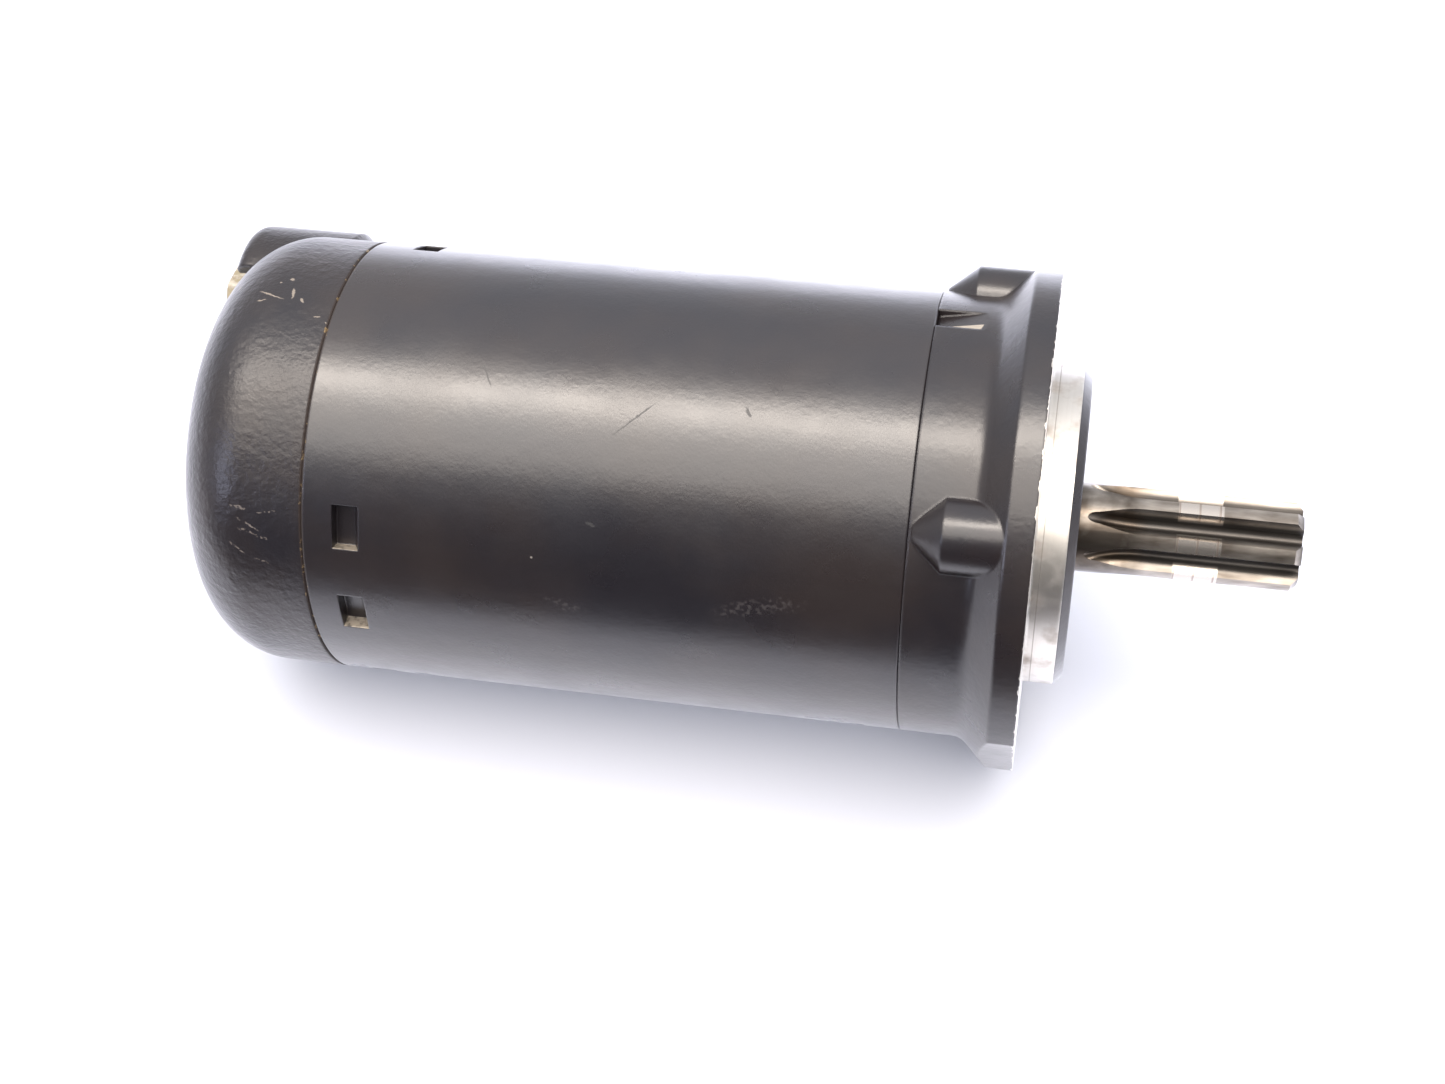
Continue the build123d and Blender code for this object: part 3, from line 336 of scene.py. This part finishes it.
def rear_cover_paint():
    """Cast cover paint, knocked and scratched round its shoulder, with dark grime in the seam."""
    material, tree, shader, place = cast_paint("black_paint_on_cast_rear_cover", 0.12 * MM, 0.33, 0.43, 0.27)
    x, _, flat = unrolled(tree, place, body_radius)
    knocks = (
        (-111.2, 88.5, 4.0, 0.28, 20), (-112.3, 90.5, 1.4, 0.25, -10), (-109.2, 82.0, 0.7, 0.6, 0),
        (-108.1, 87.3, 2.2, 0.4, 80), (-106.4, 89.6, 0.9, 0.4, 60), (-103.4, 94.6, 1.0, 0.22, 0),
        (-101.6, 96.3, 0.7, 0.3, 40), (-110.6, 83.8, 0.4, 0.3, 0))
    chips = marks_on(tree, flat, knocks, body_radius, 0.6 * MM)
    blended(tree, shader, times(tree, chips, 0.7), linear("#6e655a"), 0.5, 0.4)
    rubs = (
        (-108.5, 152.5, 5.0, 0.35, 18), (-110.5, 146.0, 3.0, 0.4, 5), (-106.5, 146.5, 3.2, 0.25, -8),
        (-109.2, 150.2, 3.8, 0.25, 24), (-111.0, 157.0, 3.0, 0.25, 35),
        (-107.5, 160.0, 2.4, 0.25, 15))
    scuffs = marks_on(tree, flat, rubs, body_radius, 0.9 * MM)
    fine = mottle(tree, flat, 0.3 * MM, low=0.47, high=0.56)
    blended(tree, shader, times(tree, scuffs, fine), linear("#453f3a"), 0.55, 0.2)
    # A fine dark line along the shaft near the lower edge, over the seam: painted shade standing in for the
    # shaded edge of a small ridge there.
    painted_edge_shade = marks_on(tree, flat, ((-103.4, -148.5, 7.0, 0.3, 0),), body_radius, 0.15 * MM)
    blended(tree, shader, painted_edge_shade, linear("#0a0808"), 0.6, 0.0)
    seam_grime(tree, shader, x, rear_seam)
    eased(tree, shader, 0.8 * MM)
    return material


def front_cover_paint():
    """Cast cover paint, machined bare on the mounting face and spigot: the edge of the cut is chipped,
    the spigot carries fine turning marks and dull stains, and its chamfer keeps the paint."""
    material, tree, shader, place = cast_paint("black_paint_on_cast_front_cover", 0.03 * MM, 0.25, 0.34, 0.36)
    x, reach, flat = unrolled(tree, place, body_radius)
    # Chips run up to 0.4 mm back from the turned edge
    ragged = add(tree, "ShaderNodeTexNoise", {"Vector": place, "Scale": 0.6 / MM, "Detail": 5.0}).outputs[0]
    edge = add(tree, "ShaderNodeMapRange", {
        "Value": ragged, "From Min": 0.5, "From Max": 0.78,
        "To Min": -0.03 * MM, "To Max": -0.4 * MM}).outputs[0]
    turned_off = add(tree, "ShaderNodeMath", {0: x, 1: edge}, operation="GREATER_THAN").outputs[0]
    bare_end = chamfer_start + 0.05 * MM
    behind = add(tree, "ShaderNodeMath", {0: x, 1: bare_end}, operation="LESS_THAN").outputs[0]
    bare = times(tree, turned_off, behind)
    blended(tree, shader, bare, linear("#aeaaa4"), 0.38, 1.0)
    # Turning marks run right round, so their pattern is stretched across the shaft
    drawn = add(tree, "ShaderNodeMapping", {"Vector": place, "Scale": (1.0, 0.02, 0.02)}).outputs[0]
    rings = add(tree, "ShaderNodeTexNoise", {"Vector": drawn, "Scale": 2.5 / MM, "Detail": 3.0}).outputs[0]
    stain = times(tree, mottle(tree, place, 2.2 * MM, detail=6.0, low=0.48, high=0.7), bare)
    blended(tree, shader, times(tree, stain, 0.7), linear("#64584c"), 0.5, 0.5)
    line = times(tree, band(tree, x, 1.05 * MM, 1.15 * MM, 0.06 * MM), bare)
    blended(tree, shader, times(tree, line, 0.5), linear("#57504a"), 0.5, 0.8)
    # The floor of the slot beside the seam was milled after painting
    away, _ = facing(tree, place)
    level = add(tree, "ShaderNodeMath", {0: away, 1: 0.7}, operation="GREATER_THAN").outputs[0]
    sunk = band(tree, reach, body_radius - 1.6 * MM, body_radius - 0.1 * MM, 0.02 * MM)
    beside = band(tree, x, front_seam + 0.05 * MM, front_seam + 8.5 * MM, 0.1 * MM)
    # Only the part of the floor past 74.5 degrees round, towards the camera, gets the pale milled colour:
    # bare metal, with a painted highlight on the side that faces the light.
    round_wall = add(tree, "ShaderNodeSeparateXYZ", {0: flat}).outputs[1]
    bright_edge = math.radians(74.5) * body_radius
    bright = add(tree, "ShaderNodeMath", {0: round_wall, 1: bright_edge},
                 operation="GREATER_THAN").outputs[0]
    milled_and_lit = times(tree, times(tree, times(tree, sunk, beside), level), bright)
    blended(tree, shader, milled_and_lit, linear("#746c60"), 0.55, 0.3)
    # The casting's skin is gone where the metal is bare, and only the turning marks stand there
    skin = shader.inputs["Normal"].links[0].from_node
    painted = add(tree, "ShaderNodeMath", {0: 1.0, 1: bare}, operation="SUBTRACT").outputs[0]
    tree.links.new(painted, skin.inputs["Strength"])
    marks = set_bump(tree, shader, times(tree, rings, bare), 0.02 * MM)
    tree.links.new(skin.outputs[0], marks.inputs["Normal"])
    eased(tree, shader, 0.6 * MM)
    return material


# ------------------------------------------------------------------ metals and the rest
def pinion_steel():
    """Hardened alloy steel, hobbed and ground: bright lands, tooth spaces darker towards their roots,
    straw and brown oil tints by the seal, and a band polished by the mating gear."""
    material, tree, shader, place = new_material("hardened_and_ground_pinion_steel", "#7a736b", 0.34, 1.0)
    x, reach, _ = unrolled(tree, place, 6.5 * MM)
    # The oil film gathers in streaks along the teeth, 1 to 3 mm long
    laid = add(tree, "ShaderNodeMapping", {"Vector": place, "Scale": (0.25, 1, 1)}).outputs[0]
    streaks = mottle(tree, laid, 0.9 * MM, detail=5.0, low=0.35, high=0.7)
    tree.links.new(two_tone(tree, streaks, "#8a847c", "#575049"), shader.inputs["Base Color"])
    # The tooth spaces are coloured near black towards their roots
    deep = add(tree, "ShaderNodeMapRange", {
        "Value": reach, "From Min": 6.4 * MM, "From Max": 5.5 * MM}).outputs[0]
    darker_roots = times(tree, deep, 0.92)
    blended(tree, shader, darker_roots, linear("#191614"), 0.4, 0.7)
    near_seal = band(tree, x, 5.0 * MM, 13.0 * MM, 3.0 * MM)
    oily = times(tree, near_seal, mottle(tree, place, 3 * MM, detail=5.0, low=0.3, high=0.55))
    blended(tree, shader, times(tree, oily, 0.85), linear("#332b23"), 0.3, 0.9)
    # The mating gear is about 6 mm wide and leaves lines round the teeth, 2.9 mm apart
    polished = band(tree, x, 19.8 * MM, 26.0 * MM, 0.15 * MM)
    lands = add(tree, "ShaderNodeMapRange", {
        "Value": reach, "From Min": 5.0 * MM, "From Max": 6.0 * MM}).outputs[0]
    rubbed = times(tree, polished, lands)
    blended(tree, shader, rubbed, linear("#9a938b"), 0.27, 1.0)
    wave = add(tree, "ShaderNodeTexWave", {"Vector": place, "Scale": 0.11 / MM, "Distortion": 0.15},
               bands_direction="X", wave_profile="SAW").outputs["Fac"]
    groove = add(tree, "ShaderNodeMapRange", {"Value": wave, "From Min": 0.86, "From Max": 0.97}).outputs[0]
    lines = times(tree, times(tree, groove, rubbed), 0.8)
    blended(tree, shader, lines, linear("#6a5f57"), 0.4, 1.0)
    grind = add(tree, "ShaderNodeTexNoise", {"Vector": laid, "Scale": 4 / MM, "Detail": 3.0}).outputs[0]
    set_bump(tree, shader, grind, 0.006 * MM)
    return material


def yellow_zinc():
    """Zinc plate with a yellow chromate, eaten into white and brown crusts by battery fumes."""
    material, tree, shader, place = new_material("corroded_yellow_zinc_plate", "#7a705a", 0.5, 0.6)
    crust = mottle(tree, place, 0.8 * MM, detail=6.0, low=0.38, high=0.6)
    tree.links.new(two_tone(tree, crust, "#7a705a", "#8d877b"), shader.inputs["Base Color"])
    elsewhere = add(tree, "ShaderNodeMapping", {"Vector": place, "Location": (0.3, 0.1, 0.7)}).outputs[0]
    brown = mottle(tree, elsewhere, 1.1 * MM, detail=6.0, low=0.55, high=0.72)
    blended(tree, shader, brown, linear("#4c3b29"), 0.75, 0.1)
    not_brown = add(tree, "ShaderNodeMath", {0: 1.0, 1: brown}, operation="SUBTRACT").outputs[0]
    pale = times(tree, crust, not_brown)
    blended(tree, shader, times(tree, pale, 0.8), linear("#8f887b"), 0.8, 0.0)
    set_bump(tree, shader, crust, 0.05 * MM)
    eased(tree, shader, 0.25 * MM)
    return material


def copper_windings():
    """Enamelled copper wire 2 mm thick, laid side by side and dipped in amber varnish."""
    material, tree, shader, place = new_material("enamelled_copper_wire_in_varnish", "#8a4a1e", 0.28, 0.75)
    shader.inputs["Coat Weight"].default_value = 0.6
    flat = unrolled(tree, place, 18 * MM)[2]
    leaned = add(tree, "ShaderNodeMapping", {"Vector": flat, "Rotation": (0, 0, 0.5)}).outputs[0]
    wires = add(tree, "ShaderNodeTexWave", {"Vector": leaned, "Scale": 0.157 / MM, "Distortion": 0.6},
                bands_direction="X").outputs["Fac"]
    # The colour runs from dark brown in the grooves between the wires to copper on their crowns, in step with
    # the bump
    tree.links.new(two_tone(tree, wires, "#3d1a08", "#a85a24"), shader.inputs["Base Color"])
    set_bump(tree, shader, wires, 0.4 * MM)
    return material


def core_laminations():
    """Silicon steel sheets, stacked, skimmed and blued by varnish, one band to a millimetre."""
    material, tree, shader, place = new_material("stacked_silicon_steel_laminations", "#55565a", 0.4, 0.9)
    sheets = add(tree, "ShaderNodeTexWave", {"Vector": place, "Scale": 0.314 / MM},
                 bands_direction="X").outputs["Fac"]
    tree.links.new(two_tone(tree, sheets, "#2e2e31", "#6d6e72"), shader.inputs["Base Color"])
    set_bump(tree, shader, sheets, 0.03 * MM)
    return material


finishes = {
    "tube_black": satin_tube_paint(),
    "hard_steel": pinion_steel(),
    "terminal_zinc": yellow_zinc(),
    "winding_copper": copper_windings(),
    "lamination": core_laminations(),
    # Ground and lapped: nearly a mirror, with a film of grease
    "bearing_steel": grained(
        "lapped_bearing_steel", "#b9b9bb", "#a5a4a2", 0.8 * MM, 0.14, 0.24, 1.0, 0.001 * MM),
    # Drawn wire: fine lines along it and a blue-grey oil film
    "spring_steel": grained(
        "drawn_spring_steel", "#77787c", "#5f5f63", 0.3 * MM, 0.3, 0.42, 1.0, 0.004 * MM),
    # Clear zinc plate: pale, slightly blue and cloudy
    "bolt_steel": grained(
        "zinc_plated_bolt_steel", "#a9adb2", "#8f9296", 0.6 * MM, 0.32, 0.48, 1.0, 0.006 * MM),
    # The same plate on pressed sheet: a little paler, with broader clouds
    "plate_steel": grained(
        "zinc_plated_pressed_steel", "#b2b4b6", "#97999c", 1.0 * MM, 0.3, 0.46, 1.0, 0.006 * MM),
    # Moulded nitrile: dull black with a mould sheen and dust
    "nitrile": grained(
        "moulded_nitrile_rubber", "#141415", "#222223", 0.4 * MM, 0.55, 0.75, 0.0, 0.01 * MM),
    # Sintered ferrite: charcoal grey, ground with fine pits
    "ferrite": grained(
        "ground_sintered_ferrite", "#3a3b3f", "#2b2b2e", 0.5 * MM, 0.5, 0.66, 0.0, 0.02 * MM),
    # Turned copper: salmon, dragged lines round it, darker where brushes run
    "bare_copper": grained(
        "turned_hard_copper", "#c47a52", "#8e4f33", 0.3 * MM, 0.28, 0.42, 1.0, 0.008 * MM, (3, 0.2, 0.2)),
    # Moulded phenolic: deep red-brown with a cloudy mould gloss
    "phenolic": grained(
        "moulded_phenolic", "#3a2015", "#54301f", 0.7 * MM, 0.35, 0.5, 0.0, 0.01 * MM),
    # Vulcanised fibre board: tan, with short fibres
    "insulating_board": grained(
        "pressed_fibre_board", "#b08a58", "#8f6c42", 0.5 * MM, 0.6, 0.75, 0.0, 0.02 * MM, (1, 0.3, 1)),
    # Pressed graphite with copper dust: near black, with a warm fleck
    "brush_carbon": grained(
        "pressed_copper_graphite", "#2b2624", "#4a3a32", 0.25 * MM, 0.4, 0.6, 0.3, 0.01 * MM),
    # Sintered bronze: dull gold, pricked all over with oil-dark pores
    "sintered_bronze": grained(
        "oil_filled_sintered_bronze", "#8d6a3e", "#6f5330", 0.2 * MM, 0.45, 0.6, 1.0, 0.015 * MM),
    # Folded brass strip: yellow and bright, with rolling lines along the shaft
    "holder_brass": grained(
        "folded_brass_strip", "#c6a25c", "#a88647", 0.8 * MM, 0.25, 0.4, 1.0, 0.004 * MM, (0.3, 1, 1)),
    # Glass-filled nylon: matt black, greyed by the fibres under its skin
    "nylon_black": grained(
        "glass_filled_black_nylon", "#17171a", "#242427", 0.5 * MM, 0.45, 0.6, 0.0, 0.012 * MM, (0.4, 1, 1)),
}
cover_finishes = {"front_cover": front_cover_paint(), "rear_cover": rear_cover_paint()}
for part in frame["record"]["subparts"]:
    shown = nodes[part["node"]]
    finish = cover_finishes.get(part["node"]) or finishes[part["material_slot"]]
    shown.data.materials.clear()
    shown.data.materials.append(finish)


# ------------------------------------------------------------------ threads and springs
def cut_thread(name, mount, pitch):
    """The thread in a mounting hole: a helical ridge on the hole's wall, closed at both ends."""
    depth = mount["dims"]["length_mm"] * MM
    wall = mount["dims"]["r_mm"] * MM
    first = -1 * MM
    run_out = 3 * MM
    turns = int((depth - run_out) / pitch)
    steps = 48 * turns
    root = wall + 0.02 * MM
    crest = wall - 0.54 * pitch
    builder = bmesh.new()
    corners = [
        builder.verts.new((first, root, 0)),
        builder.verts.new((first - 0.43 * pitch, crest, 0)),
        builder.verts.new((first - 0.86 * pitch, root, 0)),
    ]
    sides = [builder.edges.new((corners[k - 1], corners[k])) for k in range(3)]
    bmesh.ops.spin(builder, geom=corners + sides, cent=(0, 0, 0), axis=(1, 0, 0),
                   dvec=(-pitch * turns / steps, 0, 0), angle=2 * math.pi * turns, steps=steps)
    bmesh.ops.holes_fill(builder, edges=builder.edges, sides=3)
    bmesh.ops.recalc_face_normals(builder, faces=builder.faces)
    bmesh.ops.translate(builder, verts=builder.verts, vec=(0, mount["pos_m"][1], mount["pos_m"][2]))
    ridge = bpy.data.meshes.new(name)
    builder.to_mesh(ridge)
    builder.free()
    piece = link(bpy.data.objects.new(name, ridge))
    ridge.materials.append(tapped_metal)
    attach(piece, "housing")


# Freshly tapped casting metal: pale, dragged round the thread, with a trace of cutting oil
tapped_metal = grained("tapped_casting_metal", "#a6a49f", "#7d7a74", 0.4 * MM, 0.3, 0.45, 1.0, 0.005 * MM)
thread_pitch = 1 * MM
for number in (1, 2, 3):
    cut_thread(f"mounting_thread_{number}", mounts[f"mount_thread_{number}"], thread_pitch)


def following_spring(number):
    """A brush's spring, copied with its doubled points merged and shown in place of the CAD part."""
    source = nodes[f"brush_spring_{number}"]
    wire = source.data.copy()
    builder = bmesh.new()
    builder.from_mesh(wire)
    bmesh.ops.remove_doubles(builder, verts=builder.verts, dist=0.0005 * MM)
    builder.to_mesh(wire)
    builder.free()
    piece = link(bpy.data.objects.new(f"following_spring_{number}", wire))
    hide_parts(source.name)
    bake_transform(piece)


for number in (1, 2, 3, 4):
    following_spring(number)

# ------------------------------------------------------------------ floor and light
PAPER = "#9b9ca1"

# The flange's rim and the rear end of the body both touch the sheet, so the sheet lies at a small slope
floor_tilt = math.atan((flange_radius - body_radius) / (front_seam - rear_low.x))
sheet_size = 6.0
sheet_gap = 0.15 * MM
flange_middle = -3 * MM
mesh = bpy.data.meshes.new("floor")
builder = bmesh.new()
bmesh.ops.create_grid(builder, x_segments=1, y_segments=1, size=sheet_size)
bmesh.ops.rotate(builder, verts=builder.verts, matrix=Matrix.Rotation(floor_tilt, 3, "Y"))
bmesh.ops.translate(builder, verts=builder.verts, vec=(flange_middle, 0, -flange_radius - sheet_gap))
builder.to_mesh(mesh)
builder.free()
floor = link(bpy.data.objects.new("floor", mesh))
paper, paper_tree, paper_shader, paper_place = new_material("matt_white_paper", PAPER, 0.9)
paper_shader.inputs["Specular IOR Level"].default_value = 0.1
# In glossy rays the sheet's colour is a painted reflection, pale close by and dark further in front of the
# motor, so the motor's paint mirrors it that way; other rays see the plain paper colour.
ahead = add(paper_tree, "ShaderNodeSeparateXYZ", {0: paper_place}).outputs[1]
beyond = add(paper_tree, "ShaderNodeMapRange", {
    "Value": ahead, "From Min": -75 * MM, "From Max": -115 * MM})
painted_reflection = two_tone(paper_tree, beyond.outputs[0], "#dfe1ea", "#29292d")
in_mirror = add(paper_tree, "ShaderNodeLightPath", {}).outputs["Is Glossy Ray"]
paper_with_painted_reflection = add(paper_tree, "ShaderNodeMix", {0: in_mirror, 6: linear(PAPER), 7: painted_reflection},
                   data_type="RGBA")
paper_tree.links.new(paper_with_painted_reflection.outputs[2], paper_shader.inputs["Base Color"])
floor.data.materials.append(paper)


def softbox(name, height_angle, distance, width, length, power, colour, diffuse):
    """A flat light facing the body's middle from an angle up from the front, length along the shaft."""
    data = bpy.data.lights.new(name, "AREA")
    data.shape = "RECTANGLE"
    data.size = length
    data.size_y = width
    data.energy = power
    data.color = linear(colour)[:3]
    light = link(bpy.data.objects.new(name, data))
    angle = math.radians(height_angle)
    along = Vector((1, 0, 0))
    back = Vector((0, -math.cos(angle), math.sin(angle)))
    centre = Vector(((front_seam + rear_seam) / 2, 0, 0))
    turned = Matrix((along, back.cross(along), back)).transposed().to_4x4()
    light.matrix_world = Matrix.Translation(centre + distance * back) @ turned
    light.visible_diffuse = diffuse
    return light


softbox("overhead_core", 88, 0.9, 0.14, 1.6, 20, "#fff4e8", False)
softbox("overhead_wide", 74, 0.92, 0.85, 1.6, 30, "#fff6ec", True)

# Soft fills from the front and the back that open up the shadow on the sheet, never seen as a shape
for name, height_angle, power in (("front_fill", 40, 20), ("back_fill", 138, 22)):
    fill = softbox(name, height_angle, 1.1, 0.6, 1.6, power, "#eef1ff", True)
    fill.visible_glossy = False

# A tall narrow window to the left, mirrored by the rear shoulder and the lower sides of the bosses
window = softbox("side_window", 32, 0.72, 0.34, 0.2, 6, "#dbe2ff", False)
window.location.x = rear_seam - 0.71

world = bpy.data.worlds.new("studio")
bpy.context.scene.world = world
world.use_nodes = True
sky = world.node_tree
direction = add(sky, "ShaderNodeSeparateXYZ", {0: add(sky, "ShaderNodeTexCoord", {}).outputs["Generated"]})
# The room is darker on the camera's side, low down, and brightest behind and above the motor
room_dark = 0.25
room_behind = 1.3
room_above = 0.9
to_back = add(sky, "ShaderNodeMapRange", {
    "Value": direction.outputs[1], "From Min": -0.95, "From Max": 0.1, "To Max": room_behind},
    interpolation_type="SMOOTHSTEP").outputs[0]
up = add(sky, "ShaderNodeMapRange", {
    "Value": direction.outputs[2], "From Min": 0.35, "From Max": 0.9, "To Max": room_above},
    interpolation_type="SMOOTHSTEP").outputs[0]
glow = add(sky, "ShaderNodeMath", {0: to_back, 1: up}, operation="ADD").outputs[0]
strength = add(sky, "ShaderNodeMath", {0: glow, 1: room_dark}, operation="ADD").outputs[0]
sky.links.new(strength, sky.nodes["Background"].inputs["Strength"])
sky.nodes["Background"].inputs["Color"].default_value = linear("#f6f8ff")
bpy.context.scene.view_settings.view_transform = "Standard"
